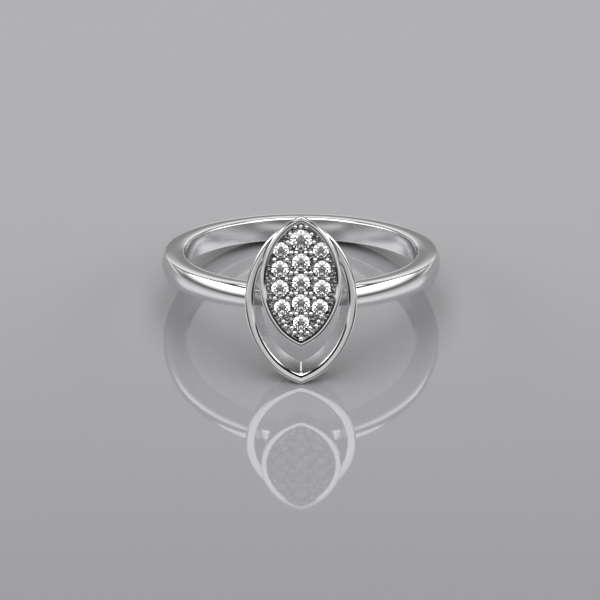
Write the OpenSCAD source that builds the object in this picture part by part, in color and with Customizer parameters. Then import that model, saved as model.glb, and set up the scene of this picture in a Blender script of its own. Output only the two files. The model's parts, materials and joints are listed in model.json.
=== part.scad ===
// Navette ring: a plain band, an open pointed-oval frame across it, and a smaller raised
// pointed-oval cup paved with round brilliants. It lies on its side, on the back of the band
// and the lower tip of the frame.

/* [Finger] */
// Radius of the finger hole
finger_r = 8.6; // [7.4:0.05:10.4]

/* [Band] */
// Width of the band along the finger
band_w = 1.75; // [1.4:0.05:2.4]
// Thickness of the band at the middle of its outer face
band_t = 1.66; // [1.4:0.02:2.2]
// How far the outer face crowns above its own edges
band_crown = 0.26; // [0.12:0.01:0.3]
// Rounding of the band's long edges
band_edge = 0.06; // [0.04:0.01:0.15]
// Width of the slim bridge that the band becomes inside the frame
bridge_w = 1.25; // [0.9:0.05:1.4]

/* [Open frame] */
// Length of the frame from tip to tip, along the finger
frame_l = 12.38; // [11:0.02:14]
// Width of the frame across the finger
frame_w = 8.06; // [7.2:0.02:9.2]
// How full the outline is near its tips: 1 is two plain arcs that meet in sharp points
frame_full = 1.064; // [1:0.004:1.1]
// Width of the wire at the front of the frame
frame_wire = 0.64; // [0.4:0.02:0.7]
// Width of the wire at the back of the frame
frame_wire_back = 0.72; // [0.6:0.02:0.9]
// How far the outer wall leans in from front to back
frame_lean = 0.4; // [0.2:0.02:0.6]
// Depth of the frame from front to back
frame_depth = 1.7; // [1.4:0.05:2.1]
// Distance from the finger hole's surface to the frame's back, on the middle line
frame_gap = 0.1; // [0.05:0.01:0.2]
// Rounding of the frame's front edges
frame_edge = 0.13; // [0.08:0.01:0.18]

/* [Paved cup] */
// How far the cup's rim stands in front of the frame
cup_raise = 0.7; // [0.5:0.02:1]
// How far the cup's back lies below the band's outer face
cup_sink = 0.46; // [0.3:0.02:0.6]
// How far the cup's middle lies above the band's middle, towards the upper tip
cup_shift = 1.68; // [1.2:0.02:2]
// How full the outline is near its tips: 1 is two plain arcs that meet in sharp points
cup_full = 1.07; // [1:0.005:1.1]
// Width of the polished rim
rim_w = 0.22; // [0.16:0.01:0.3]
// Height of the rim above the paved floor
rim_h = 0.2; // [0.14:0.01:0.26]
// How far the cup's outer wall leans in from front to back
cup_lean = 0.28; // [0.1:0.02:0.4]
// Metal between the large top stone and the cup's upper tip
room_top = 1.07; // [0.9:0.01:1.3]
// Metal between the end stone and the cup's lower tip
room_end = 1.27; // [1.1:0.01:1.5]
// Floor between the widest side stones and the rim
room_side = 0.41; // [0.32:0.01:0.6]

/* [Stones] */
// Diameter of the large stone near the upper tip
top_stone_d = 1.55; // [1.4:0.01:1.7]
// Diameter of the stones of the middle column
main_stone_d = 1.3; // [1.15:0.01:1.4]
// Diameter of the last stone of the middle column
end_stone_d = 1.15; // [1:0.01:1.3]
// Diameter of the widest stones of the side columns
side_stone_d = 1.24; // [1.05:0.01:1.3]
// Gap between two stones of the middle column
column_gap = 0.22; // [0.16:0.01:0.3]
// Gap between two stones of a side column
side_gap = 0.2; // [0.16:0.01:0.3]
// Gap between the middle column and the widest side stones
row_gap = 0.23; // [0.2:0.01:0.34]
// How far the first side stones lie below the large top stone
side_drop = 0.74; // [0.6:0.01:0.9]
// Clearance between a stone and its seat
seat_gap = 0.03; // [0.02:0.005:0.05]
// Radius of the grains of metal that hold the stones
bead_r = 0.16; // [0.12:0.01:0.18]

/* [Hidden] */
$fn = 64;
far = 20;

// Proportions of a round brilliant, as shares of its radius.
table_share = 0.57;
crown_share = 0.32;
girdle_share = 0.06;
pavilion_share = 0.86;
star_share = 0.78;
lower_share = 0.24;

// Levels of the band and the head, measured from the ring's axis.
band_r = finger_r + band_t;
frame_back = finger_r + frame_gap;
frame_front = frame_back + frame_depth;
cup_top = frame_front + cup_raise;
cup_floor = cup_top - rim_h;
cup_back = band_r - cup_sink;
bridge_bite = 0.12;
bridge_r = cup_back + bridge_bite;
wall_lip = 2 * frame_edge;

// Radius and centre of the band's crowned face, the angle at which the rounding of its edge
// starts, and the middle of that rounding.
crown_r = (band_w * band_w / 4 + band_crown * band_crown) / (2 * band_crown);
crown_x = band_r - crown_r;
crown_turn = asin((band_w / 2 - band_edge) / (crown_r - band_edge));
edge_x = crown_x + sqrt(pow(crown_r - band_edge, 2) - pow(band_w / 2 - band_edge, 2));

// Stones of the middle column and of a side column, from the upper tip down. The side
// stones' places and sizes are shares of the widest one's.
column_d = [top_stone_d, main_stone_d, main_stone_d, main_stone_d, end_stone_d];
side_out = [0.95, 1, 1, 0.9];
side_size = [0.93, 1, 1, 0.95];
side_d = side_size * side_stone_d;
side_x = (main_stone_d + side_stone_d) / 2 + row_gap;
stone_level = -seat_gap;

function total(list, n, i = 0) = i < n ? list[i] + total(list, n, i + 1) : 0;
// Distance from the start of a row of stones to the middle of its stone i.
function along(list, gap, i) = total(list, i) + i * gap + list[i] / 2;

column_n = len(column_d);
side_n = len(side_d);
cup_l = total(column_d, column_n) + (column_n - 1) * column_gap + room_top + room_end;
cup_w = 2 * (side_x + side_stone_d / 2 + room_side + rim_w);
function column_y(i) = cup_l / 2 - room_top - along(column_d, column_gap, i);
function side_y(i) = column_y(0) - side_drop + side_d[0] / 2 - along(side_d, side_gap, i);

// Every stone as [x, y, radius], measured from the cup's middle.
STONES = concat(
    [for (i = [0 : column_n - 1]) [0, column_y(i), column_d[i] / 2]],
    [for (i = [0 : side_n - 1], s = [-1, 1]) [s * side_out[i] * side_x, side_y(i), side_d[i] / 2]]);

// Grains near the tips, as shares of half the cup's width and half its length.
TIP_BEADS = [
    [0, 0.84], [0.15, 0.83], [0.28, 0.72], [0.34, 0.60],
    [0, -0.76], [0, -0.865], [0.17, -0.775], [0.24, -0.70], [0.40, -0.67],
    [0.455, -0.60], [0.53, -0.52],
];
// Grains between two stones of the middle column, as shares of a main stone's diameter.
column_beads = [0.26, 0.54];
// Grains beside each gap of a side column, as shares of a side stone's diameter.
side_beads = [-0.38, 0.36];
bead_lift = 0.02;

// Each side of an outline is a long arc that turns into a tighter arc near each tip. The
// long arc ends where it has turned through the small angle of a 3-4-5 triangle, and lengths
// are kept to a thousandth, so that neighbouring arcs meet exactly.
turn_x = 0.8;
turn_y = 0.6;
function milli(v) = round(1000 * v) / 1000;
function arc_r(w, l, full) = milli(full * (w * w + l * l) / (2 * w));
// Distance between the centres of the long arc of radius r and the tighter arc.
function arc_step(w, l, r) =
    milli((pow(w - r, 2) + l * l - r * r) / (2 * (turn_y * l - turn_x * (w - r) - r)));

// The ring leans on the band's lower back edge and on whichever end of the frame's lower
// mitre reaches lower. Points are [distance from the ring's axis, height along it].
toe_w = milli(frame_w / 2);
toe_r = arc_r(toe_w, frame_l / 2, frame_full);
toe_step = arc_step(toe_w, frame_l / 2, toe_r);
toe_side = toe_w - toe_r + turn_x * toe_step;
function tip_reach(inset) =
    turn_y * toe_step + sqrt(pow(toe_r - toe_step - inset, 2) - pow(toe_side, 2));
heel = [-edge_x, band_edge - band_w / 2];
toes = [[frame_front - wall_lip, -tip_reach(0)], [frame_back, -tip_reach(frame_lean)]];
function lean(toe) = acos(band_edge / norm(toe - heel)) - atan2((toe - heel)[0], (heel - toe)[1]);
tilt = max([for (t = toes) lean(t)]);
lift = band_edge - heel[0] * sin(tilt) - heel[1] * cos(tilt);
reach_front = frame_edge + (frame_front - frame_edge) * cos(tilt)
    + (frame_l / 2 - frame_edge) * sin(tilt);
reach_back = tilt < crown_turn ? crown_r + crown_x * cos(tilt)
    : band_edge + edge_x * cos(tilt) - heel[1] * sin(tilt);
shift_y = (reach_front - reach_back) / 2;

// Turns the ring from its own axis to how it lies, with the head to the front.
module lie() {
    translate([0, shift_y, lift]) rotate([-tilt, 0, 0]) children();
}

// Head coordinates: x across the finger, y along it, z away from the ring's axis.
module on_head() {
    rotate([90, 0, 0]) children();
}

module on_cup() {
    on_head() translate([0, cup_shift, 0]) children();
}

// Sweeps a section round a full circle. The section's x is measured from that circle,
// outwards.
module ring_sweep(x, y, r) {
    translate([x, y, 0]) rotate_extrude() intersection() {
        translate([r, 0]) children();
        translate([0, -far]) square(2 * far);
    }
}

// Sweeps a section round a pointed oval of half width w and half length l, mitred at the
// tips and at the middle line.
module navette_sweep(w, l, full) {
    r = arc_r(w, l, full);
    step = arc_step(w, l, r);
    side = milli(w) - r;
    cut_y = side * turn_y / turn_x;
    end = [side + turn_x * far, turn_y * far];
    for (m = [0, 1]) mirror([m, 0, 0]) {
        intersection() {
            ring_sweep(side, 0, r) children();
            linear_extrude(far) polygon([[0, cut_y], [end[0], -end[1]], end, [0, -cut_y]]);
        }
        for (n = [0, 1]) mirror([0, n, 0]) intersection() {
            ring_sweep(side + turn_x * step, turn_y * step, r - step) children();
            linear_extrude(far) polygon([[0, -cut_y], end, [0, far]]);
        }
    }
}

module frame_sweep() {
    navette_sweep(frame_w / 2, frame_l / 2, frame_full) children();
}

module rounded_box(x, y, r) {
    translate([r, -y / 2]) square([x - 2 * r, y]);
    translate([0, r - y / 2]) square([x, y - 2 * r]);
    for (cx = [r, x - r], cy = [r - y / 2, y / 2 - r]) translate([cx, cy]) circle(r);
}

// Takes the edge off a corner in three small facets that touch a circle of radius r. The
// corner lies between the directions from and to.
module ease_corner(x, y, r, from, to) {
    n = 3;
    step = (to - from) / n;
    first = from + step / 2;
    last = to - step / 2;
    mid = (from + to) / 2;
    translate([x, y]) polygon(concat(
        [r * [cos(first) + 2 * sin(first), sin(first) - 2 * cos(first)]],
        [for (k = [1 : n - 1]) r / cos(step / 2) * [cos(from + k * step), sin(from + k * step)]],
        [r * [cos(last) - 2 * sin(last), sin(last) + 2 * cos(last)]],
        [4 * r * [cos(mid), sin(mid)]]));
}

module band_section() {
    half = band_w / 2;
    difference() {
        intersection() {
            translate([finger_r, -half]) square([band_t, band_w]);
            translate([crown_x, 0]) circle(crown_r, $fn = 256);
        }
        for (side = [0, 1]) mirror([0, side]) {
            ease_corner(finger_r + band_edge, half - band_edge, band_edge, 90, 180);
            ease_corner(edge_x, half - band_edge, band_edge, crown_turn, 90);
        }
    }
}

// Cuts the square front corners of a wall of width w, whose outer face is at x = 0.
module round_front(w, top, r) {
    difference() {
        children();
        for (x = [-r, r - w]) difference() {
            translate([x < -w / 2 ? x - 2 * r : x, top - r]) square(2 * r);
            translate([x, top - r]) circle(r);
        }
    }
}

module frame_section() {
    round_front(frame_wire, frame_front, frame_edge) polygon([
        [-frame_lean, frame_back],
        [-frame_lean - frame_wire_back, frame_back],
        [-frame_wire, frame_front - wall_lip],
        [-frame_wire, frame_front],
        [0, frame_front],
        [0, frame_front - wall_lip],
    ]);
}

// The space inside the middle of the frame's wall, where the band gives way to the bridge.
module frame_hollow() {
    on_head() frame_sweep() polygon([
        [-far, frame_back - frame_depth],
        [-frame_lean - frame_wire_back / 2, frame_back - frame_depth],
        [-frame_lean - frame_wire_back / 2, frame_back],
        [-frame_wire / 2, frame_front],
        [-frame_wire / 2, frame_front + frame_depth],
        [-far, frame_front + frame_depth],
    ]);
}

module band() {
    difference() {
        rotate_extrude($fn = 256) band_section();
        frame_hollow();
    }
    rotate_extrude($fn = 256)
        translate([finger_r, 0]) rounded_box(bridge_r - finger_r, bridge_w, band_edge);
}

module open_frame() {
    on_head() frame_sweep() frame_section();
}

module cup_section() {
    round_front(rim_w, cup_top, rim_w / 2) polygon([
        [-far, cup_back],
        [-cup_lean, cup_back],
        [0, cup_floor - rim_h],
        [0, cup_top],
        [-rim_w, cup_top],
        [-rim_w, cup_floor],
        [-far, cup_floor],
    ]);
}

module bead(x, y) {
    translate([x, y, cup_floor + bead_lift]) sphere(bead_r, $fn = 32);
}

module beads() {
    for (side = [-1, 1]) {
        for (b = TIP_BEADS) if (b[0] > 0 || side > 0)
            bead(side * b[0] * cup_w / 2, b[1] * cup_l / 2);
        for (i = [0 : column_n - 2], share = column_beads)
            bead(side * share * main_stone_d, column_y(i) - (column_d[i] + column_gap) / 2);
        for (i = [0 : side_n - 2], share = side_beads)
            bead(side * ((side_out[i] + side_out[i + 1]) / 2 * side_x + share * side_stone_d),
                side_y(i) - (side_d[i] + side_gap) / 2);
    }
}

module paved_cup() {
    on_cup() {
        navette_sweep(cup_w / 2, cup_l / 2, cup_full) cup_section();
        beads();
    }
}

module at_stone(s) {
    on_cup() translate([s[0], s[1], cup_floor + stone_level]) children();
}

// The space that a stone needs, from the tip of its pavilion to above its table.
module seat(r) {
    wall = r + seat_gap;
    mouth = table_share * r + seat_gap;
    girdle = girdle_share * r + seat_gap;
    depth = girdle + pavilion_share * r;
    crown = crown_share * r + seat_gap;
    rotate_extrude() polygon([
        [0, -depth], [wall, -girdle], [wall, seat_gap], [mouth, crown],
        [mouth, crown + rim_h], [0, crown + rim_h],
    ]);
}

module ring_body() {
    color("silver") lie() difference() {
        union() {
            band();
            open_frame();
            paved_cup();
        }
        for (s = STONES) at_stone(s) seat(s[2]);
    }
}

function spoke(r, step, z) = [r * cos(step * 22.5), r * sin(step * 22.5), z];

// Round brilliant: table, 8 stars, 8 kites, 16 upper girdle facets, girdle, 16 lower girdle
// facets and 8 mains that meet at the culet. The girdle's upper edge is at z = 0.
module brilliant(r) {
    crown = crown_share * r;
    girdle = girdle_share * r;
    pavilion = pavilion_share * r;
    star_z = crown * (1 - star_share * cos(22.5)) / (1 - table_share);
    lower_z = -girdle - pavilion * (1 - lower_share * cos(22.5));
    points = concat(
        [for (k = [0 : 7]) spoke(table_share * r, 2 * k, crown)],
        [for (k = [0 : 7]) spoke(star_share * r, 2 * k + 1, star_z)],
        [for (k = [0 : 15]) spoke(r, k, 0)],
        [for (k = [0 : 15]) spoke(r, k, -girdle)],
        [for (k = [0 : 7]) spoke(lower_share * r, 2 * k + 1, lower_z)],
        [[0, 0, -girdle - pavilion]]);
    star = 8;
    upper = 16;
    under = 32;
    low = 48;
    culet = 56;
    faces = concat(
        [[for (k = [7 : -1 : 0]) k]],
        [for (k = [0 : 7]) [k, (k + 1) % 8, star + k]],
        [for (k = [0 : 7]) [k, star + k, upper + 2 * k, star + (k + 7) % 8]],
        [for (k = [0 : 7]) [star + k, upper + 2 * k + 1, upper + 2 * k]],
        [for (k = [0 : 7]) [star + k, upper + (2 * k + 2) % 16, upper + 2 * k + 1]],
        [for (k = [0 : 15]) [upper + k, upper + (k + 1) % 16, under + (k + 1) % 16, under + k]],
        [for (k = [0 : 7]) [low + k, under + 2 * k, under + 2 * k + 1]],
        [for (k = [0 : 7]) [low + k, under + 2 * k + 1, under + (2 * k + 2) % 16]],
        [for (k = [0 : 7]) [culet, low + (k + 7) % 8, under + 2 * k, low + k]]);
    polyhedron(points, faces);
}

module stone(i) {
    s = STONES[i - 1];
    color("aliceblue") lie() at_stone(s) brilliant(s[2]);
}

ring_body();
for (i = [1 : len(STONES)]) stone(i);
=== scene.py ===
# %% [markdown]
# # A navette ring, lying on its side
# The ring is a plain polished band that carries an open pointed oval, called a navette, and a
# smaller pointed cup inside it. The cup is paved with round brilliants held by small grains.
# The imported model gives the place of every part, and this lesson dresses it: exact arcs become
# smooth meshes, Geometry Nodes bend the wire and set the grains, and the finish is four kinds
# of silver, cut stones and a tent of light.

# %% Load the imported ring
import json
import math

import bmesh
import bpy
from mathutils import Matrix, Vector, geometry


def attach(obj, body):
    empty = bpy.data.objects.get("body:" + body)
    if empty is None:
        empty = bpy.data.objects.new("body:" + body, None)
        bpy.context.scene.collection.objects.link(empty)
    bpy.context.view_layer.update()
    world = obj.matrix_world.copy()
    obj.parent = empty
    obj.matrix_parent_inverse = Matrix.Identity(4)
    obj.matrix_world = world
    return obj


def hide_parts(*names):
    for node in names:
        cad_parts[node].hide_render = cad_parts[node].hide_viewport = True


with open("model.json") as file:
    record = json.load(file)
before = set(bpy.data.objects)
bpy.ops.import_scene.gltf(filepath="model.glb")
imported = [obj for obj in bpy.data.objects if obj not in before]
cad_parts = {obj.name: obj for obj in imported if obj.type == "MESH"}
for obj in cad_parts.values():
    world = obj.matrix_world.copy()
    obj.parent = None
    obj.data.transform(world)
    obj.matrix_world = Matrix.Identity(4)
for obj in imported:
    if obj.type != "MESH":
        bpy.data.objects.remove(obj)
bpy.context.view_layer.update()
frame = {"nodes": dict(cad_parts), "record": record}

# %% [markdown]
# ## How the ring lies
# The finger hole is a bore, and the record keeps its centre, axis and radius. All sizes below
# are in millimetres, measured from that axis, and one matrix lays the ring on the table. A
# head point is given as (across the finger, along the finger, away from the ring's axis).

# %% Ring coordinates
MM = 0.001
hole = next(m for m in frame["record"]["mounts"] if m["name"] == "finger_hole")
finger_r = hole["dims"]["r_mm"]
hole_axis = Vector(hole["axis"])
tilt = math.atan2(hole_axis.y, hole_axis.z)
LIE = Matrix.Translation(Vector(hole["pos_m"])) @ Matrix.Rotation(-tilt, 4, "X")


def on_head(x, y, out):
    """A head point in millimetres, in the row frame in metres."""
    return LIE @ (Vector((x, -out, y)) * MM)


print("tilt in degrees:", round(math.degrees(tilt), 2), "finger radius:", finger_r)

# %% [markdown]
# ## One mesh maker for polished metal
# Polished silver shows every fault of a surface, so flat faces have to stay flat and roundings
# have to turn evenly. Each mesh is smooth shaded, its real edges are marked sharp by angle, and
# a Weighted Normal modifier lets the large faces keep their own direction. The result is kept
# as a plain mesh, and the count of open edges shows that it is closed.

# %% Keep what the modifiers make


def baked(obj, name):
    """Replaces an object by a plain mesh of what its modifiers make."""
    graph = bpy.context.evaluated_depsgraph_get()
    mesh = bpy.data.meshes.new_from_object(obj.evaluated_get(graph))
    mesh.name = name
    piece = bpy.data.objects.new(name, mesh)
    bpy.context.scene.collection.objects.link(piece)
    bpy.data.objects.remove(obj)
    return piece


# %% A closed mesh from points and faces
SAME_POINT = 1e-7
SHARP_DEGREES = 32


def metal_piece(name, points, faces, materials, second_faces=()):
    """A closed piece with even reflections. The second faces get the second material."""
    mesh = bpy.data.meshes.new(name + "_draft")
    mesh.from_pydata(points, [], faces)
    for material in materials:
        mesh.materials.append(material)
    for i in second_faces:
        mesh.polygons[i].material_index = 1
    work = bmesh.new()
    work.from_mesh(mesh)
    bmesh.ops.remove_doubles(work, verts=work.verts, dist=SAME_POINT)
    bmesh.ops.recalc_face_normals(work, faces=work.faces)
    open_edges = sum(1 for e in work.edges if not e.is_manifold)
    work.to_mesh(mesh)
    work.free()
    mesh.shade_smooth()
    mesh.set_sharp_from_angle(angle=math.radians(SHARP_DEGREES))
    draft = bpy.data.objects.new(name + "_draft", mesh)
    bpy.context.scene.collection.objects.link(draft)
    weights = draft.modifiers.new("even", "WEIGHTED_NORMAL")
    weights.keep_sharp = True
    piece = baked(draft, name)
    print(name, "faces:", len(piece.data.polygons), "open edges:", open_edges)
    return piece


# %% [markdown]
# ## Silver in four finishes
# The metal is sterling silver under a thin flash of rhodium: a neutral, slightly cool metal
# whose tone comes from the room. What the eye tells apart is how each surface was worked. So
# the outside is buffed to a mirror, the band's inner wall is satin, the frame's inner wall is
# left from the file, and the cup's floor is cut with a graver. The filed wall and the cut floor
# also get darker colours, which are painted shade for the recesses they lie in. All could be
# one material with a mask, but a material for each finish can be named, used again and changed
# by itself.

# %% Colour and node helpers
SRGB_KNEE, SRGB_SLOPE, SRGB_OFFSET, SRGB_POWER = 0.04045, 12.92, 0.055, 2.4


def srgb(hex_colour, alpha=1.0):
    """A hex sRGB colour as the linear colour that shaders take."""
    out = []
    for i in (1, 3, 5):
        c = int(hex_colour[i:i + 2], 16) / 255
        curve = ((c + SRGB_OFFSET) / (1 + SRGB_OFFSET)) ** SRGB_POWER
        out.append(c / SRGB_SLOPE if c <= SRGB_KNEE else curve)
    return (*out, alpha)


def add(tree, kind, inputs=None, **settings):
    """Adds a node, with its settings, and its inputs as values or links."""
    node = tree.nodes.new(kind)
    for key, value in settings.items():
        setattr(node, key, value)
    for key, value in (inputs or {}).items():
        if isinstance(value, bpy.types.NodeSocket):
            tree.links.new(value, node.inputs[key])
        else:
            node.inputs[key].default_value = value
    return node


def new_material(name):
    """A material with an empty node tree."""
    material = bpy.data.materials.new(name)
    material.use_nodes = True
    tree = material.node_tree
    tree.nodes.clear()
    return material, tree


def finish_material(tree, shader):
    """Sends a shader to the material's surface."""
    add(tree, "ShaderNodeOutputMaterial", {"Surface": shader.outputs[0]})


print("mid grey in linear light:", round(srgb("#808080")[0], 3))

# %% Silver worked with wheels and files
# A hairline's width and depth in millimetres. It is five times as long as it is wide.
HAIRLINE, HAIR_DEPTH, HAIR_STRETCH = 0.05, 0.002, 0.2
# The wheel's uneven pressure: clouds in a millimetre, and the span of the noise that is used.
CLOUDS_PER_MM, CLOUD_LOW, CLOUD_HIGH = 0.6, 0.1, 0.5


def polished_silver(name, colour, rough_low, rough_high, bump):
    """Silver with hairlines. Real ones are finer still and are drawn wide enough to show."""
    material, tree = new_material(name)
    place = add(tree, "ShaderNodeTexCoord")
    across = 1 / (HAIRLINE * MM)
    lines = add(tree, "ShaderNodeMapping", {
        "Vector": place.outputs["Object"], "Scale": (across, HAIR_STRETCH * across, across)})
    grain = add(tree, "ShaderNodeTexNoise", {
        "Vector": lines.outputs[0], "Scale": 1.0, "Detail": 3.0, "Roughness": 0.6})
    cloud = add(tree, "ShaderNodeTexNoise", {
        "Vector": place.outputs["Object"], "Scale": CLOUDS_PER_MM / MM, "Detail": 2.0})
    mixed = add(tree, "ShaderNodeMath", {0: grain.outputs[0], 1: cloud.outputs[0]},
                operation="MULTIPLY")
    rough = add(tree, "ShaderNodeMapRange", {
        "Value": mixed.outputs[0], "From Min": CLOUD_LOW, "From Max": CLOUD_HIGH,
        "To Min": rough_low, "To Max": rough_high})
    relief = add(tree, "ShaderNodeBump", {
        "Height": grain.outputs[0], "Strength": bump, "Distance": HAIR_DEPTH * MM})
    shader = add(tree, "ShaderNodeBsdfPrincipled", {
        "Base Color": srgb(colour), "Metallic": 1.0,
        "Roughness": rough.outputs[0], "Normal": relief.outputs[0]})
    finish_material(tree, shader)
    return material


# To the eye a clear mirror with crisp black and white bands, hardly clouded by the buff.
silver = polished_silver("sterling_silver_rhodium_mirror_buffed", "#F2F2F3", 0.01, 0.03, 0.1)
# A pale, soft sheen: the room's bands run into each other, as on a wall that fingers rub.
satin_silver = polished_silver(
    "sterling_silver_satin_by_rubber_wheel", "#F0F0F1", 0.14, 0.2, 0.05)
# Rough, so it shows no picture of the room, where no polishing wheel can reach. Its darker grey is
# painted shade for the wall inside the frame's recess.
filed_silver = polished_silver(
    "sterling_silver_filed_and_pickled", "#DADADC", 0.26, 0.34, 0.05)
print("wheel finishes:", silver.name, satin_silver.name, filed_silver.name)

# %% Silver cut with a graver
CUT_ROUGHNESS = 0.03


def bright_cut(name, colour, cut_width, cut_depth):
    """Floor between the stones: little concave cuts, given by their width and depth in mm."""
    material, tree = new_material(name)
    place = add(tree, "ShaderNodeTexCoord")
    cuts = add(tree, "ShaderNodeTexVoronoi", {
        "Vector": place.outputs["Object"], "Scale": 1 / (cut_width * MM)})
    relief = add(tree, "ShaderNodeBump", {
        "Height": cuts.outputs["Distance"], "Strength": 1.0, "Distance": cut_depth * MM})
    shader = add(tree, "ShaderNodeBsdfPrincipled", {
        "Base Color": srgb(colour), "Metallic": 1.0, "Roughness": CUT_ROUGHNESS,
        "Normal": relief.outputs[0]})
    finish_material(tree, shader)
    return material


# A dark ground, painted shade for the recessed floor between the stones. The bumped cuts give
# small glints, so that the grains stand out as white beads.
cut_silver = bright_cut("sterling_silver_bright_cut_by_graver", "#707071", 0.24, 0.19)
print("graver finish:", cut_silver.name)

# %% [markdown]
# ## Cubic zirconia
# The stones are cubic zirconia, cut and polished: a clear stone that bends light much more
# than glass, so most of what enters the table comes back out of it. It could be drawn as a
# bright patterned surface, but real refraction moves with the view, so this is a clear solid
# with the stone's own IOR.

# %% Cut stone
STONE_IOR = 2.16
# Half of the usual surface gloss, because the photograph's facets mirror little of the sky.
STONE_GLOSS = 0.25


def zirconia():
    """A clear stone. To the eye it is a ring of white sparks round a grey table."""
    material, tree = new_material("cubic_zirconia_cut_and_polished")
    shader = add(tree, "ShaderNodeBsdfPrincipled", {
        "Base Color": srgb("#FDFDFF"), "Roughness": 0.0, "IOR": STONE_IOR,
        "Transmission Weight": 1.0, "Specular IOR Level": STONE_GLOSS})
    finish_material(tree, shader)
    return material


stone_glass = zirconia()
print("stone:", stone_glass.name)

# %% [markdown]
# ## The pointed oval
# Each side of a navette is a long arc that turns into a tighter arc near the tips. The long
# arc ends after the small angle of a 3-4-5 triangle. A line parallel to the outline keeps the
# arcs' centres, so the same two formulas give the outer edge, the inner edge and every line
# between them, and they all meet on the middle line, which makes a clean mitre.

# %% Navette outline
TURN_X, TURN_Y = 0.8, 0.6
TURN = math.atan2(TURN_Y, TURN_X)


class Navette:
    """The right-hand half of a pointed oval, from the lower tip to the upper one."""

    def __init__(self, width, length, full):
        w, l = width / 2, length / 2
        self.r = full * (w * w + l * l) / (2 * w)
        self.side = w - self.r
        self.step = (self.side ** 2 + l * l - self.r ** 2) / (
            2 * (TURN_Y * l - TURN_X * self.side - self.r))
        self.tip_x = self.side + TURN_X * self.step
        self.tip_y = TURN_Y * self.step
        tip_turn = self.tip_end(0) - TURN
        long_part = self.r * TURN
        self.share = long_part / (long_part + (self.r - self.step) * tip_turn)

    def tip_end(self, inset):
        """The angle at which a parallel line reaches the middle line."""
        return math.acos(-self.tip_x / (self.r - self.step - inset))

    def point(self, s, inset):
        """s runs from -1 at the lower tip to 1 at the upper tip."""
        t = abs(s)
        if t <= self.share:
            a = TURN * t / self.share
            x, y = self.side + (self.r - inset) * math.cos(a), (self.r - inset) * math.sin(a)
        else:
            part = (t - self.share) / (1 - self.share)
            a = TURN + (self.tip_end(inset) - TURN) * part
            reach = self.r - self.step - inset
            x, y = self.tip_x + reach * math.cos(a), self.tip_y + reach * math.sin(a)
        return max(x, 0.0), math.copysign(y, s)

    def held_in(self, x, y, inset):
        """Brings a point that lies beyond a parallel line back onto it."""
        cx, cy, reach = self.side, 0, self.r - inset
        if abs(y) * TURN_X > (abs(x) - self.side) * TURN_Y:
            cx, cy, reach = self.tip_x, self.tip_y, self.r - self.step - inset
        dx, dy = abs(x) - cx, abs(y) - cy
        share = min(1, reach / math.hypot(dx, dy))
        return math.copysign(cx + dx * share, x), math.copysign(cy + dy * share, y)

    def loop(self, inset, count):
        """Points round the whole outline, from the lower tip up the right side."""
        right = [self.point(-1 + 2 * k / count, inset) for k in range(count + 1)]
        return right + [(-x, y) for x, y in reversed(right[1:-1])]


frame_w, frame_l, frame_full = 8.06, 12.38, 1.064
frame_shape = Navette(frame_w, frame_l, frame_full)
print("long arc of the frame:", round(frame_shape.r, 2), "tip arc:",
      round(frame_shape.r - frame_shape.step, 2))

# %% [markdown]
# ## The open frame
# On the real ring this is one bent wire of flat section, polished, with eased front edges. Its
# outer wall leans in towards the finger. A curve with a bevel would pinch at the tips, so the
# section is swept along the outline in another way: each of its points runs on its own
# parallel line, and the mitres at the tips come out by themselves.

# %% A section with rounded corners


def rounded_section(corners, steps=5):
    """Corners are (a, b, radius). A corner with no radius stays as one point."""
    out = []
    n = len(corners)
    for i, (a, b, r) in enumerate(corners):
        here = Vector((a, b))
        if r == 0:
            out.append(here)
            continue
        before = (Vector(corners[i - 1][:2]) - here).normalized()
        after = (Vector(corners[(i + 1) % n][:2]) - here).normalized()
        half = before.angle(after) / 2
        centre = here + (before + after).normalized() * r / math.sin(half)
        start = here + before * r / math.tan(half) - centre
        turn = (math.pi - 2 * half) * (1 if before.x * after.y - before.y * after.x < 0 else -1)
        for k in range(steps + 1):
            out.append(centre + Matrix.Rotation(turn * k / steps, 2) @ start)
    return out


# %% The frame's section, from its outer back corner round the front
frame_wire, frame_wire_back, frame_lean = 0.64, 0.72, 0.4
frame_gap, frame_depth, frame_edge, frame_back_edge = 0.1, 1.7, 0.13, 0.06
frame_back = finger_r + frame_gap
frame_front = frame_back + frame_depth
crest_share, crest_ease, outer_drop = 0.3, 0.5, 0.01
bevel_w, bevel_drop, bevel_ease, inner_edge = 0.19, 0.042, 0.3, 0.13
wire_front, bevel_top = frame_wire + 0.02, frame_front - 0.003
frame_section = rounded_section([
    (frame_lean, frame_back, frame_back_edge),
    (0, frame_front - 2 * frame_edge, 0),
    (0, frame_front - outer_drop, frame_edge),
    (frame_wire * crest_share, frame_front, crest_ease),
    (wire_front - bevel_w, bevel_top, bevel_ease),
    (wire_front, bevel_top - bevel_drop, inner_edge),
    (frame_lean + frame_wire_back, frame_back, frame_back_edge),
])
print("points of the frame's section:", len(frame_section))

# %% Sweep a section along a navette


def navette_sweep(shape, section, count, shift=0.0, closed=True):
    """Points and faces of a section (inset, out) swept along the outline."""
    rows = [[on_head(x, y + shift, out) for x, y in shape.loop(inset, count)]
            for inset, out in section]
    n = len(rows[0])
    points = [p for row in rows for p in row]
    faces = []
    for j in range(len(rows) if closed else len(rows) - 1):
        k = (j + 1) % len(rows)
        for i in range(n):
            m = (i + 1) % n
            faces.append((j * n + i, j * n + m, k * n + m, k * n + i))
    return points, faces


FRAME_COUNT = 120
frame_round = 2 * FRAME_COUNT
points, faces = navette_sweep(frame_shape, frame_section, FRAME_COUNT)
inner_wall = max(range(len(frame_section) - 1),
                 key=lambda j: frame_section[j].y - frame_section[j + 1].y)
# The inner wall's faces get the filed silver, whose darker grey is painted shade.
filed_faces = range(inner_wall * frame_round, (inner_wall + 1) * frame_round)
open_frame = metal_piece("open_frame", points, faces, [silver, filed_silver], filed_faces)

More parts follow.
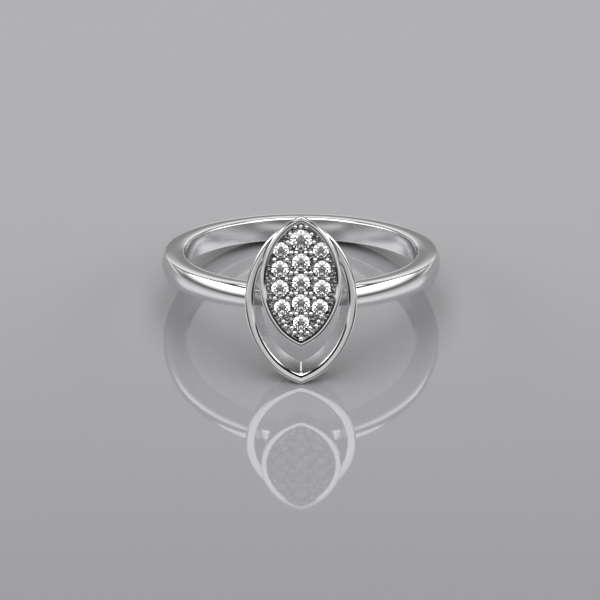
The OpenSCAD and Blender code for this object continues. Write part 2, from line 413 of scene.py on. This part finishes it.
# %% [markdown]
# ## Solder in the lower mitre
# Where the two arms meet, a little solder fills the mitre, and the photograph shows it as one
# pale upright line. A texture would vanish in the dark, so it is a thin three-sided bar that
# follows the corner of the inner wall.

# %% A bar in the corner
KEEL_W, KEEL_ROOT = 0.15, 0.2
keel_front = (frame_wire + 0.2, frame_front - 0.3)
keel_back = (frame_lean + frame_wire_back - 0.02, frame_back + 0.05)


def tip_line(inset, x):
    """How far below the middle a parallel line is, beside the lower tip."""
    reach = frame_shape.r - frame_shape.step - inset
    return -frame_shape.tip_y - math.sqrt(reach ** 2 - (x - frame_shape.tip_x) ** 2)


keel_points = []
for inset, out in (keel_front, keel_back):
    for x, rise in ((-KEEL_W / 2, 0), (KEEL_W / 2, 0), (0, -KEEL_ROOT)):
        keel_points.append(on_head(x, tip_line(inset, abs(x)) + rise, out))
keel_faces = [(0, 2, 1), (3, 4, 5), (0, 1, 4, 3), (1, 2, 5, 4), (2, 0, 3, 5)]
keel = metal_piece("mitre_solder", keel_points, keel_faces, [silver])

# %% [markdown]
# ## The band
# The band is drawn wire of D section, bent round and soldered into the frame. Its shape is one
# rule, so Geometry Nodes make it: the section is swept along an arc, then each of its points
# is put on its own circle round the ring's axis and stops at the plane where the frame's wall
# begins. So the cut is flat, as a jeweller files it before soldering. The crown's edge has a
# small rounding, which draws the thin dark line along the top of the band.

# %% Section of the drawn wire
band_w, band_t, band_crown, band_edge, flank_pillow = 1.75, 1.66, 0.26, 0.12, 0.018
band_r = finger_r + band_t
crown_r = (band_w ** 2 / 4 + band_crown ** 2) / (2 * band_crown)
crown_x = band_r - crown_r
CROWN_STEPS, EDGE_STEPS, FLANK_STEPS = 18, 5, 8


def arc(x, y, r, first, last, steps):
    """Points on an arc, by its centre, radius and first and last angle."""
    return [(x + r * math.cos(a), y + r * math.sin(a))
            for a in (first + (last - first) * k / steps for k in range(steps + 1))]


def pillow(first, last, height, steps):
    """Points between two corners that bulge a little, as a buffed face does."""
    out = []
    for k in range(1, steps):
        t = k / steps
        bulge = 4 * height * t * (1 - t)
        out.append((first[0] + (last[0] - first[0]) * t,
                    first[1] + (last[1] - first[1]) * t + bulge))
    return out


def band_points():
    """The D section, from the lower end of its crown round to its inner wall."""
    reach = band_w / 2 - flank_pillow - band_edge
    fillet_x = crown_x + math.sqrt((crown_r - band_edge) ** 2 - reach ** 2)
    turn = math.asin(reach / (crown_r - band_edge))
    crown = arc(crown_x, 0, crown_r, -turn, turn, CROWN_STEPS)
    outer = arc(fillet_x, reach, band_edge, turn, math.pi / 2, EDGE_STEPS)[1:]
    inner = arc(finger_r + band_edge, reach, band_edge, math.pi / 2, math.pi, EDGE_STEPS)
    upper = outer + pillow(outer[-1], inner[0], flank_pillow, FLANK_STEPS) + inner
    lower = [(x, -y) for x, y in reversed(upper)]
    return crown + upper + lower


band_section = band_points()
print("points of the band's section:", len(band_section))

# %% A node tree that bends a wire round the finger


def bent_wire_tree():
    """Puts a section (out, along) round the ring's axis, up to a flat cut on both sides."""
    tree = bpy.data.node_groups.new("wire_bent_round_the_finger", "GeometryNodeTree")
    for name, kind in (("Geometry", "Geometry"), ("Cut Distance", "Float"),
                       ("Middle Turn", "Float"), ("Rings", "Int"), ("Material", "Material")):
        tree.interface.new_socket(name, in_out="INPUT", socket_type="NodeSocket" + kind)
    tree.interface.new_socket("Geometry", in_out="OUTPUT", socket_type="NodeSocketGeometry")
    given = add(tree, "NodeGroupInput")
    place = add(tree, "GeometryNodeInputPosition")
    section = add(tree, "GeometryNodeStoreNamedAttribute", {
        "Geometry": given.outputs["Geometry"], "Name": "section", "Value": place.outputs[0]},
        data_type="FLOAT_VECTOR")
    profile = add(tree, "GeometryNodeMeshToCurve", {"Mesh": section.outputs[0]})
    path = add(tree, "GeometryNodeCurveArc", {"Resolution": given.outputs["Rings"]})
    last = add(tree, "ShaderNodeMath", {0: given.outputs["Rings"], 1: 1.0}, operation="SUBTRACT")
    count = add(tree, "GeometryNodeInputIndex")
    share = add(tree, "ShaderNodeMapRange", {
        "Value": count.outputs[0], "From Max": last.outputs[0], "To Min": -1.0})
    marked = add(tree, "GeometryNodeStoreNamedAttribute", {
        "Geometry": path.outputs[0], "Name": "share", "Value": share.outputs[0]})
    swept = add(tree, "GeometryNodeCurveToMesh", {
        "Curve": marked.outputs[0], "Profile Curve": profile.outputs[0], "Fill Caps": True})
    bent = add(tree, "GeometryNodeSetPosition", {
        "Geometry": swept.outputs[0], "Position": bent_place(tree, given)})
    real = add(tree, "GeometryNodeRealizeInstances", {"Geometry": bent.outputs[0]})
    painted = add(tree, "GeometryNodeSetMaterial", {
        "Geometry": real.outputs[0], "Material": given.outputs["Material"]})
    add(tree, "NodeGroupOutput", {"Geometry": painted.outputs[0]})
    return tree


def bent_place(tree, given):
    """Where a point of the section comes to lie: on its own circle, by its share of the way."""
    section = add(tree, "GeometryNodeInputNamedAttribute", {"Name": "section"},
                  data_type="FLOAT_VECTOR")
    share = add(tree, "GeometryNodeInputNamedAttribute", {"Name": "share"})
    part = add(tree, "ShaderNodeSeparateXYZ", {0: section.outputs[0]})
    out, along = part.outputs["X"], part.outputs["Y"]
    ratio = add(tree, "ShaderNodeMath", {0: given.outputs["Cut Distance"], 1: out},
                operation="DIVIDE")
    stop = add(tree, "ShaderNodeMath", {0: ratio.outputs[0]}, operation="ARCSINE")
    gap = add(tree, "ShaderNodeMath", {0: given.outputs["Middle Turn"], 1: stop.outputs[0]},
              operation="SUBTRACT")
    half = add(tree, "ShaderNodeMath", {0: gap.outputs[0]}, operation="ABSOLUTE")
    turn = add(tree, "ShaderNodeMath", {
        0: half.outputs[0], 1: share.outputs[0], 2: given.outputs["Middle Turn"]},
        operation="MULTIPLY_ADD")
    sine = add(tree, "ShaderNodeMath", {0: turn.outputs[0]}, operation="SINE")
    cosine = add(tree, "ShaderNodeMath", {0: turn.outputs[0]}, operation="COSINE")
    x = add(tree, "ShaderNodeMath", {0: out, 1: sine.outputs[0]}, operation="MULTIPLY")
    back = add(tree, "ShaderNodeMath", {0: out, 1: cosine.outputs[0]}, operation="MULTIPLY")
    y = add(tree, "ShaderNodeMath", {0: back.outputs[0], 1: -1.0}, operation="MULTIPLY")
    return add(tree, "ShaderNodeCombineXYZ", {
        "X": x.outputs[0], "Y": y.outputs[0], "Z": along}).outputs[0]


wire_tree = bent_wire_tree()
print("nodes in the wire's tree:", len(wire_tree.nodes))

# %% Run a tree and keep its mesh


def with_nodes(name, points, edges, tree, values):
    """Runs a node tree on points and edges, and keeps the result as a plain mesh."""
    mesh = bpy.data.meshes.new(name + "_points")
    mesh.from_pydata(points, edges, [])
    draft = bpy.data.objects.new(name + "_points", mesh)
    bpy.context.scene.collection.objects.link(draft)
    modifier = draft.modifiers.new(name, "NODES")
    modifier.node_group = tree
    for item in tree.interface.items_tree:
        if item.in_out == "INPUT" and item.name in values:
            modifier[item.identifier] = values[item.name]
    return baked(draft, name)


def bent_wire(name, section, cut, middle, rings, materials, wall_r=0.0):
    """A bent wire as a metal piece. The faces within wall_r get the second material."""
    around = [(i, (i + 1) % len(section)) for i in range(len(section))]
    draft = with_nodes(name + "_bent", [(out, along, 0) for out, along in section], around,
                       wire_tree, {"Cut Distance": cut, "Middle Turn": middle,
                                   "Rings": rings, "Material": silver})
    places = [v.co.copy() for v in draft.data.vertices]
    faces = [tuple(face.vertices) for face in draft.data.polygons]
    bpy.data.objects.remove(draft)
    wall = [i for i, face in enumerate(faces)
            if max(math.hypot(places[v].x, places[v].y) for v in face) < wall_r]
    return metal_piece(name, [LIE @ (p * MM) for p in places], faces, materials, wall)


BAND_RINGS = 361
band_cut = frame_w / 2 - frame_lean - frame_wire_back / 2
band = bent_wire("band", band_section, band_cut, math.pi, BAND_RINGS,
                 [silver, satin_silver], finger_r + band_edge / 2)

# %% [markdown]
# ## The slim bridge inside the frame
# Between the arms of the frame the band goes on as a slimmer, lower bar, which is seen in both
# side gaps and carries the cup. It follows the same rule as the band, over the head instead of
# over the back, so the same node tree makes it. It runs on a little into the frame's wall, as
# a soldered bar does.

# %% Bridge
bridge_w, bridge_bite, bridge_run_on, cup_sink = 1.25, 0.12, 0.05, 0.46
BRIDGE_RINGS = 61
cup_back = band_r - cup_sink
bridge_r = cup_back + bridge_bite
bridge_section = rounded_section([
    (finger_r, -bridge_w / 2, band_edge),
    (bridge_r, -bridge_w / 2, band_edge),
    (bridge_r, bridge_w / 2, band_edge),
    (finger_r, bridge_w / 2, band_edge),
])
bridge = bent_wire("bridge", bridge_section, band_cut + bridge_run_on, 0.0, BRIDGE_RINGS, [silver])

# %% [markdown]
# ## Where the stones sit
# Five stones run down the middle, from a large one at the upper tip to a small one at the
# lower tip, and four more run down each side. Typed places would be hard to change, so the
# same gaps set them as a setter would: stone, gap, stone, from the upper tip down.

# %% Stones, measured from the cup's middle
room_top, room_end, room_side, rim_w = 1.07, 1.27, 0.41, 0.22
column_gap, side_gap, row_gap, side_drop = 0.22, 0.2, 0.23, 0.74
main_d, side_d_max = 1.3, 1.24
column_d = [1.55, main_d, main_d, main_d, 1.15]
side_out = [0.95, 1, 1, 0.9]
side_d = [share * side_d_max for share in (0.93, 1, 1, 0.95)]
side_x = (main_d + side_d_max) / 2 + row_gap
cup_l = sum(column_d) + 4 * column_gap + room_top + room_end
cup_w = 2 * (side_x + side_d_max / 2 + room_side + rim_w)


def along_row(row, gap, i):
    """Distance from the start of a row of stones to the middle of its stone i."""
    return sum(row[:i]) + i * gap + row[i] / 2


column_y = [cup_l / 2 - room_top - along_row(column_d, column_gap, i) for i in range(5)]
side_y = [column_y[0] - side_drop + side_d[0] / 2 - along_row(side_d, side_gap, i)
          for i in range(4)]
stones = [(0, y, d / 2) for y, d in zip(column_y, column_d)]
for out, y, d in zip(side_out, side_y, side_d):
    stones += [(-out * side_x, y, d / 2), (out * side_x, y, d / 2)]
print("stones:", len(stones), "cup:", round(cup_w, 2), "by", round(cup_l, 2))

# %% [markdown]
# ## The paved cup
# The cup is a shallow tray. Its rim is rolled out a little and bevelled inwards, which gives
# the thin double line round the stones. The floor is drilled, and the graver leaves a bright
# bevel round each hole. Boolean cuts would leave ragged edges on a mirror, so the walls are a
# sweep along a smaller navette, the floor is a flat sheet cut into triangles between the rim
# and the holes, and each hole goes on down as the cone that the stone's point hangs in.

# %% Walls and rim
cup_raise, cup_shift, cup_full, rim_h, cup_lean = 0.7, 1.68, 1.07, 0.2, 0.28
cup_top = frame_front + cup_raise
cup_floor = cup_top - rim_h
RIM_OUT, CUP_TRIM, LIP, CUP_COUNT = 0.2, 0.12, 0.41, 120
cup_shape = Navette(cup_w + 2 * RIM_OUT, cup_l - CUP_TRIM, cup_full)
# The rim's surface: how far in from its outer edge, and how far below its top.
rim_profile = [(0, 0.1), (0.004, 0.06), (0.018, 0.03), (0.045, 0.01), (0.075, 0.001),
               (0.085, 0), (0.265, 0), (0.275, 0.001), (0.29, 0.005), (LIP, 0.038)]
cup_section = [Vector(p) for p in [(cup_lean, cup_back), (0, cup_floor - rim_h)]
               + [(inset, cup_top - drop) for inset, drop in rim_profile] + [(LIP, cup_floor)]]
points, faces = navette_sweep(cup_shape, cup_section, CUP_COUNT, cup_shift, closed=False)
cup_round = 2 * CUP_COUNT
faces.append(tuple(range(cup_round)))
print("cup from", round(cup_back, 2), "to", round(cup_top, 2), "from the ring's axis")

# %% Seats for the stones
HOLE_SIDES, RIM_MARGIN = 32, 0.01
seat_gap, BEVEL, cone_end = 0.03, 0.035, 0.05
girdle_share, cone_share = 0.06, 0.86


def circle(x, y, r):
    """A hole's outline, which never cuts into the rim."""
    turns = [2 * math.pi * k / HOLE_SIDES for k in range(HOLE_SIDES)]
    return [cup_shape.held_in(x + r * math.cos(a), y + r * math.sin(a), LIP + RIM_MARGIN)
            for a in turns]


def seat_rings(x, y, r):
    """Rings of a seat, from its mouth on the floor down to its point."""
    wall = r + seat_gap
    girdle = cup_floor - seat_gap - girdle_share * r
    return [
        (circle(x, y, wall + BEVEL), cup_floor),
        (circle(x, y, wall), cup_floor - BEVEL),
        (circle(x, y, wall), girdle - seat_gap),
        (circle(x, y, cone_end), girdle - seat_gap - cone_share * r),
    ]


print("seat of the first stone goes down",
      round(cup_floor - seat_rings(*stones[0])[-1][1], 2))

# %% A flat floor round the holes
flat = [Vector(p) for p in cup_shape.loop(LIP, CUP_COUNT)]
edges = [(i, (i + 1) % cup_round) for i in range(cup_round)]
mouths = [circle(x, y, r + seat_gap + BEVEL) for x, y, r in stones]
for mouth in mouths:
    first = len(flat)
    flat += [Vector(p) for p in mouth]
    edges += [(first + k, first + (k + 1) % HOLE_SIDES) for k in range(HOLE_SIDES)]
CONSTRAINED, NEAR = 1, 1e-6
cut = geometry.delaunay_2d_cdt(flat, edges, [], CONSTRAINED, NEAR)
plate, triangles = cut[0], cut[2]


def inside(point, ring):
    """Even-odd test of a point in a closed outline."""
    odd = False
    for (ax, ay), (bx, by) in zip(ring, ring[1:] + ring[:1]):
        if (ay > point.y) != (by > point.y):
            if point.x < ax + (bx - ax) * (point.y - ay) / (by - ay):
                odd = not odd
    return odd


def over_a_hole(triangle):
    """Whether a triangle of the flat sheet lies over a hole."""
    middle = sum((plate[i] for i in triangle), Vector((0, 0))) / 3
    return any(inside(middle, mouth) for mouth in mouths)


base = len(points)
points += [on_head(p.x, p.y + cup_shift, cup_floor) for p in plate]
floor_faces = [tuple(base + i for i in t) for t in triangles if not over_a_hole(t)]
print("floor triangles:", len(floor_faces), "of", len(triangles))

# %% Drill the seats and close the cup
for x, y, r in stones:
    rings = seat_rings(x, y, r)
    base = len(points)
    points += [on_head(px, py + cup_shift, out) for ring, out in rings for px, py in ring]
    for j in range(len(rings) - 1):
        a, b = base + j * HOLE_SIDES, base + (j + 1) * HOLE_SIDES
        for k in range(HOLE_SIDES):
            m = (k + 1) % HOLE_SIDES
            floor_faces.append((a + k, a + m, b + m, b + k))
    last = base + (len(rings) - 1) * HOLE_SIDES
    floor_faces.append(tuple(range(last, last + HOLE_SIDES)))
# The floor and the seats get the cut silver, whose dark colour is painted shade.
engraved = range(len(faces), len(faces) + len(floor_faces))
cup = metal_piece("paved_cup", points, faces + floor_faces, [silver, cut_silver], engraved)

# %% [markdown]
# ## Grains
# The setter raises a small grain of metal beside each stone and pushes it over the stone's
# edge. They are all alike, so Geometry Nodes put one small ball on every point of a point
# cloud, and its size is a named input.

# %% Where the grains stand
# Grains in the tips, as shares of the cup's half width and half length, for one side.
TIP_GRAINS = [
    (0, 0.84), (0.15, 0.83), (0.28, 0.72), (0.34, 0.60),
    (0, -0.76), (0, -0.865), (0.17, -0.775), (0.24, -0.70), (0.40, -0.67),
    (0.455, -0.60), (0.53, -0.52),
]
COLUMN_SHARES, SIDE_SHARES = (0.26, 0.54), (-0.38, 0.36)
grain_points = []
for side in (-1, 1):
    for x, y in TIP_GRAINS:
        if x > 0 or side > 0:
            grain_points.append((side * x * cup_w / 2, y * cup_l / 2))
    for i in range(4):
        y = column_y[i] - (column_d[i] + column_gap) / 2
        for share in COLUMN_SHARES:
            grain_points.append((side * share * main_d, y))
    for i in range(3):
        middle = (side_out[i] + side_out[i + 1]) / 2 * side_x
        y = side_y[i] - (side_d[i] + side_gap) / 2
        for share in SIDE_SHARES:
            grain_points.append((side * (middle + share * side_d_max), y))
print("grains:", len(grain_points))

# %% A node tree that puts a grain on every point
BALL_SUBDIVISIONS = 4


def grain_tree():
    """Balls on points, with their radius and material as named inputs."""
    tree = bpy.data.node_groups.new("grains_on_points", "GeometryNodeTree")
    for name, kind in (("Geometry", "Geometry"), ("Grain Radius", "Float"),
                       ("Material", "Material")):
        tree.interface.new_socket(name, in_out="INPUT", socket_type="NodeSocket" + kind)
    tree.interface.new_socket("Geometry", in_out="OUTPUT", socket_type="NodeSocketGeometry")
    given = add(tree, "NodeGroupInput")
    ball = add(tree, "GeometryNodeMeshIcoSphere", {
        "Radius": given.outputs["Grain Radius"], "Subdivisions": BALL_SUBDIVISIONS})
    smooth = add(tree, "GeometryNodeSetShadeSmooth", {"Geometry": ball.outputs["Mesh"]})
    spots = add(tree, "GeometryNodeMeshToPoints", {"Mesh": given.outputs["Geometry"]})
    placed = add(tree, "GeometryNodeInstanceOnPoints", {
        "Points": spots.outputs[0], "Instance": smooth.outputs[0]})
    real = add(tree, "GeometryNodeRealizeInstances", {"Geometry": placed.outputs[0]})
    painted = add(tree, "GeometryNodeSetMaterial", {
        "Geometry": real.outputs[0], "Material": given.outputs["Material"]})
    add(tree, "NodeGroupOutput", {"Geometry": painted.outputs[0]})
    return tree


bead_r, bead_lift = 0.16, 0.02
spots = [on_head(x, y + cup_shift, cup_floor + bead_lift) for x, y in grain_points]
grains = with_nodes("grains", spots, [], grain_tree(),
                    {"Grain Radius": bead_r * MM, "Material": silver})
print("grain faces:", len(grains.data.polygons))

# %% [markdown]
# ## Metal and stones on the ring
# The real metal is soldered into one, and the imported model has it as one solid. So every piece
# of metal rides on the ring's body and stands for that solid. The stones keep the mesh that
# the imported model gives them, because their facets are flat and exact already, and only get
# their material.

# %% Metal stands for the solid
for piece in (open_frame, keel, band, bridge, cup, grains):
    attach(piece, "root")
    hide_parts("ring_body")
    print(piece.name, "stands for ring_body")

# %% Stones keep their cut
stone_nodes = [node for name, node in frame["nodes"].items() if name.startswith("stone_")]
for node in stone_nodes:
    node.data.materials.clear()
    node.data.materials.append(stone_glass)
print("stones with their material:", len(stone_nodes))

# %% [markdown]
# ## The sheet
# The ring lies on a pale, glossy sheet of opal acrylic, which mirrors it softly. The sheet
# could be a plain grey, but towards the camera its colour is painted dark. This is painted
# shade, standing in for the light that a photographer lets fall off there, so that flat metal
# faces find something dark to mirror. The painted shade follows the sheet's own depth, not the
# camera.

# %% One tone up to a border and another past it


def soft_border(tree, value, low, high, before, past):
    """Mixes two tones across a soft border, which runs from low to high."""
    share = add(tree, "ShaderNodeMapRange", {
        "Value": value, "From Min": low, "From Max": high}, interpolation_type="SMOOTHSTEP")
    return add(tree, "ShaderNodeMix", {
        "Factor": share.outputs[0], "A": before, "B": past}, data_type="RGBA").outputs["Result"]


# %% Glossy sheet
# In front of the ring the colour is painted dark between these depths, in millimetres: painted
# shade.
SHEET_FRONT, SHEET_DARK = 42, 62
# Half the sheet's width in metres, patches of haze in a metre, and the acrylic's own IOR.
SHEET_HALF, HAZE_PER_M, SHEET_IOR = 1.2, 12.0, 1.49


def floor_material():
    """Opal acrylic. To the eye a pale grey depth under a polish that mirrors the ring, with
    painted shade darkening it in front.
    """
    material, tree = new_material("opal_acrylic_sheet_polished")
    place = add(tree, "ShaderNodeTexCoord")
    haze = add(tree, "ShaderNodeTexNoise", {
        "Vector": place.outputs["Object"], "Scale": HAZE_PER_M, "Detail": 2.0})
    rough = add(tree, "ShaderNodeMapRange", {
        "Value": haze.outputs[0], "To Min": 0.03, "To Max": 0.05})
    depth = add(tree, "ShaderNodeSeparateXYZ", {0: place.outputs["Object"]}).outputs["Y"]
    # Painted shade: the colour goes from pale grey to near black in front of the ring.
    tone = soft_border(tree, depth, -SHEET_FRONT * MM, -SHEET_DARK * MM,
                       srgb("#7C7C7E"), srgb("#18181A"))
    shader = add(tree, "ShaderNodeBsdfPrincipled", {
        "Base Color": tone, "Roughness": rough.outputs[0], "IOR": SHEET_IOR})
    finish_material(tree, shader)
    return material


sheet_mesh = bpy.data.meshes.new("sheet")
corners = [(-1, -1), (1, -1), (1, 1), (-1, 1)]
sheet_mesh.from_pydata([(x * SHEET_HALF, y * SHEET_HALF, 0) for x, y in corners], [],
                       [(0, 1, 2, 3)])
sheet_mesh.materials.append(floor_material())
floor = bpy.data.objects.new("sheet", sheet_mesh)
bpy.context.scene.collection.objects.link(floor)
print("sheet:", 2 * SHEET_HALF, "metres wide")

# %% [markdown]
# ## The tent of light
# Polished metal shows only its room, so the room is drawn as light by direction. Area lamps
# would need a dozen objects to do the same. Soft boxes stand at both sides. The camera's
# opening in front is dark and draws the fine black lines along the edges, with a pale strip
# at the horizon for the flat faces. The back is dim, with one lit patch of wall that the
# band's top mirrors. A soft roof lights the sheet, and two faint round lights beside the
# camera lift the grains.

# %% Brightness by height, in degrees
SIDE_BANDS = [(-90, 0.05), (-2, 0.045), (4, 0.045), (6, 0.1), (8.5, 0.19), (13, 0.28),
              (18, 0.55), (25, 1.0), (34, 1.0), (38, 0.17), (41, 0.006), (90, 0.003)]
FRONT_BANDS = [(-90, 0.05), (-2, 0.2), (2, 0.2), (2.6, 0.12), (3.4, 0.01), (30, 0.002),
               (90, 0.002)]
BACK_BANDS = [(-90, 0.05), (-2, 0.06), (1.5, 0.075), (3.5, 0.2), (5, 0.26), (7, 0.2),
              (9, 0.08), (20, 0.08), (26, 0.02), (36, 0.01), (90, 0.003)]
WALL_BANDS = [(-90, 0.05), (25, 0.08), (28, 0.33), (31, 0.34), (35.5, 0.02), (90, 0.003)]


def sine(degrees):
    """The height of a direction, from -1 below to 1 above."""
    return math.sin(math.radians(degrees))


def bands(tree, height, stops):
    """A ramp by the sine of the height angle. Stops are (degrees, brightness)."""
    part = add(tree, "ShaderNodeMapRange", {
        "Value": height, "From Min": -1.0, "From Max": 1.0})
    ramp = add(tree, "ShaderNodeValToRGB", {"Fac": part.outputs[0]})
    line = ramp.color_ramp
    while len(line.elements) > 1:
        line.elements.remove(line.elements[-1])
    for i, (degrees, level) in enumerate(stops):
        spot = (sine(degrees) + 1) / 2
        if i == 0:
            mark = line.elements[0]
            mark.position = spot
        else:
            mark = line.elements.new(spot)
        mark.color = (level, level, level, 1)
    return ramp.outputs[0]


print("stops:", [len(stops) for stops in (SIDE_BANDS, FRONT_BANDS, BACK_BANDS, WALL_BANDS)])

# %% Round lights
# Brightness, turn from the front to the right, height and radius, the last three in degrees.
ROOF = (1.05, 180, 89, 33)
LAMPS = [(1.3, -30, 50, 10), (1.3, 30, 50, 10)]
SOFT = 0.04


def round_lamp(tree, direction, behind, level, turn, height, spread):
    """A round light with a soft edge in front of what is behind it."""
    turn, height, edge = math.radians(turn), math.radians(height), math.radians(spread)
    middle = (math.sin(turn) * math.cos(height), -math.cos(turn) * math.cos(height),
              math.sin(height))
    cosine = add(tree, "ShaderNodeVectorMath", {0: direction, 1: middle},
                 operation="DOT_PRODUCT")
    return soft_border(tree, cosine.outputs["Value"], math.cos(edge + SOFT),
                       math.cos(edge - SOFT), behind, (level, level, level, 1))


print("round lights:", 1 + len(LAMPS))

# %% The tent
TENT_STRENGTH = 3.6
# Borders by heading, which is -1 in front and 1 at the back, and one by height in degrees.
TO_FRONT, TO_BACK, TO_WALL, WALL_FOOT = (-0.66, -0.86), (0.35, 0.6), (0.95, 0.975), (22, 25)


def tent():
    """The world: sides, front, back and a patch of wall, then the round lights."""
    world = bpy.data.worlds.new("light_tent")
    bpy.context.scene.world = world
    world.use_nodes = True
    tree = world.node_tree
    tree.nodes.clear()
    place = add(tree, "ShaderNodeTexCoord")
    parts = add(tree, "ShaderNodeSeparateXYZ", {0: place.outputs["Generated"]})
    height = parts.outputs["Z"]
    level = add(tree, "ShaderNodeCombineXYZ", {
        "X": parts.outputs["X"], "Y": parts.outputs["Y"]})
    compass = add(tree, "ShaderNodeVectorMath", {0: level.outputs[0]}, operation="NORMALIZE")
    heading = add(tree, "ShaderNodeSeparateXYZ", {0: compass.outputs[0]}).outputs["Y"]
    side, front, back, wall = (bands(tree, height, stops) for stops in
                               (SIDE_BANDS, FRONT_BANDS, BACK_BANDS, WALL_BANDS))
    lit = soft_border(tree, heading, *TO_FRONT, side, front)
    lit = soft_border(tree, heading, *TO_BACK, lit, back)
    patch = soft_border(tree, height, *(sine(degrees) for degrees in WALL_FOOT), lit, wall)
    lit = soft_border(tree, heading, *TO_WALL, lit, patch)
    for lamp in [ROOF] + LAMPS:
        lit = round_lamp(tree, place.outputs["Generated"], lit, *lamp)
    light = add(tree, "ShaderNodeBackground", {"Color": lit, "Strength": TENT_STRENGTH})
    add(tree, "ShaderNodeOutputWorld", {"Surface": light.outputs[0]})
    return len(tree.nodes)


print("nodes in the tent:", tent())
bpy.context.scene.view_settings.view_transform = "Standard"

# %% [markdown]
# ## The camera
# The photograph was taken with a long lens from in front and above. Its distance, height and
# aim were fitted to the circles of the band and to the head. A wide lens could frame the ring
# as well, but it would make the head too large against the back of the band.

# %% Camera
VIEW_DEGREES, VIEW_DISTANCE, AIM_DEGREES = 31.174, 0.3481, 31.644
LENS, SENSOR, PHOTO_SIDE, NEAR_CLIP = 283.4, 36, 600, 0.01
camera_data = bpy.data.cameras.new("camera")
camera_data.lens = LENS
camera_data.sensor_width = SENSOR
camera_data.shift_x = -1 / PHOTO_SIDE
camera_data.clip_start = NEAR_CLIP
camera = bpy.data.objects.new("camera", camera_data)
lift = math.radians(VIEW_DEGREES)
away = Vector((0, -math.cos(lift), math.sin(lift)))
camera.location = Vector(hole["pos_m"]) + VIEW_DISTANCE * away
camera.rotation_euler = (math.radians(90 - AIM_DEGREES), 0, 0)
bpy.context.scene.collection.objects.link(camera)
bpy.context.scene.camera = camera
print("camera at", [round(c, 3) for c in camera.location])
